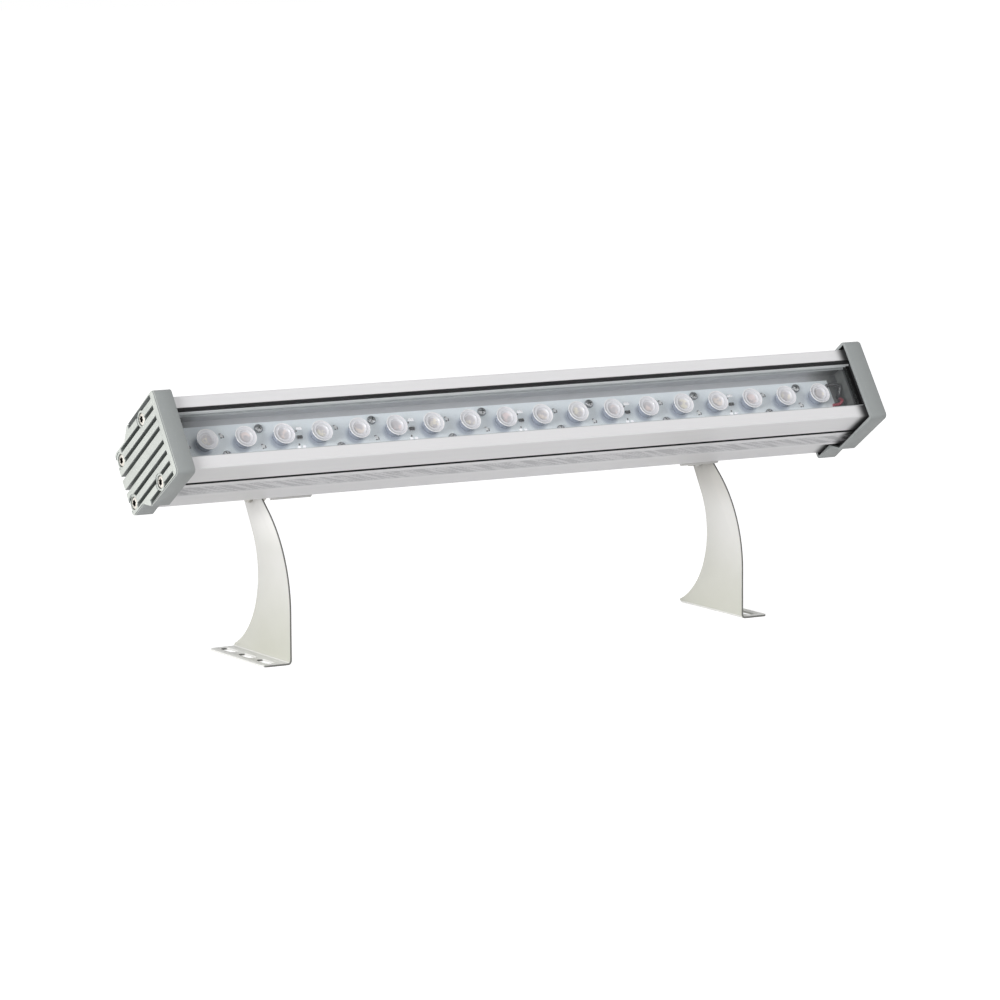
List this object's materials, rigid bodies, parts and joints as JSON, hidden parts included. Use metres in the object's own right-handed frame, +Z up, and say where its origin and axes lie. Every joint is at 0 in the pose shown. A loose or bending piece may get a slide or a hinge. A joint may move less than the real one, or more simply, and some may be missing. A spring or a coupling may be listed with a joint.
{
  "type": "outdoor wall washer light",
  "caption": "Linear LED wall washer: glazed aluminium housing with ribbed end caps on two curved, tilting and sliding sheet metal feet.",
  "frame": {"origin": "under the middle of the overall box, on the ground that the two feet stand on", "axes": "+X along the lamp to the end with the cable gland, -Y the way the light leans, +Z up"},
  "size_m": [0.5, 0.1048, 0.1711],
  "materials": {
    "housing_aluminium": "satin anodised",
    "glass": "clear, polished",
    "seal_rubber": "matt silicone",
    "grey_silicone": "satin silicone",
    "board_white": "white solder mask",
    "emitter": "phosphor under silicone",
    "lens_clear": "clear moulded",
    "screw_steel": "bright",
    "component_dark": "matt",
    "wire_red": "satin",
    "wire_black": "satin",
    "cap_paint": "satin grey-green coat",
    "arm_paint": "fine white powder coat",
    "gland_plastic": "satin nylon",
    "washer_nylon": "satin"
  },
  "bodies": {
    "lamp": {"housing_profile": "housing_aluminium", "front_glass": "glass", "upper_glass_seal": "seal_rubber", "lower_glass_seal": "seal_rubber", "left_channel_dam": "grey_silicone", "right_channel_dam": "grey_silicone", "led_board": "board_white", "led_emitters": "emitter", "lens_cups": "lens_clear", "board_screws": "screw_steel", "board_components": "component_dark", "red_wire": "wire_red", "black_wire": "wire_black", "left_end_seal": "seal_rubber", "right_end_seal": "seal_rubber", "left_end_cap": "cap_paint", "right_end_cap": "cap_paint", "left_cap_screws": "screw_steel", "right_cap_screws": "screw_steel", "gland_body": "gland_plastic", "gland_seal": "seal_rubber", "gland_insert": "seal_rubber", "gland_nut": "gland_plastic"},
    "left_carriage": {"left_hinge_bracket": "arm_paint", "left_slot_nut": "screw_steel", "left_clamp_screws": "screw_steel", "left_friction_washer": "washer_nylon", "left_pivot_bolt": "screw_steel", "left_pivot_washer": "screw_steel", "left_pivot_nut": "screw_steel"},
    "left_foot_arm": {"left_arm": "arm_paint"},
    "right_carriage": {"right_hinge_bracket": "arm_paint", "right_slot_nut": "screw_steel", "right_clamp_screws": "screw_steel", "right_friction_washer": "washer_nylon", "right_pivot_bolt": "screw_steel", "right_pivot_washer": "screw_steel", "right_pivot_nut": "screw_steel"},
    "right_foot_arm": {"right_arm": "arm_paint"}
  },
  "joints": [
    {"name": "left_bracket_slide", "type": "slide", "parent": "lamp", "child": "left_carriage", "axis": [-1, 0, 0], "range_m": [-0.12, 0.07]},
    {"name": "left_arm_tilt", "type": "hinge", "parent": "left_carriage", "child": "left_foot_arm", "pos_m": [-0.1595, 0.02978, 0.09725], "axis": [1, 0, 0], "range_deg": [-12, 145]},
    {"name": "right_bracket_slide", "type": "slide", "parent": "lamp", "child": "right_carriage", "axis": [1, 0, 0], "range_m": [-0.12, 0.036]},
    {"name": "right_arm_tilt", "type": "hinge", "parent": "right_carriage", "child": "right_foot_arm", "pos_m": [0.1626, 0.02978, 0.09725], "axis": [1, 0, 0], "range_deg": [-12, 145]}
  ]
}
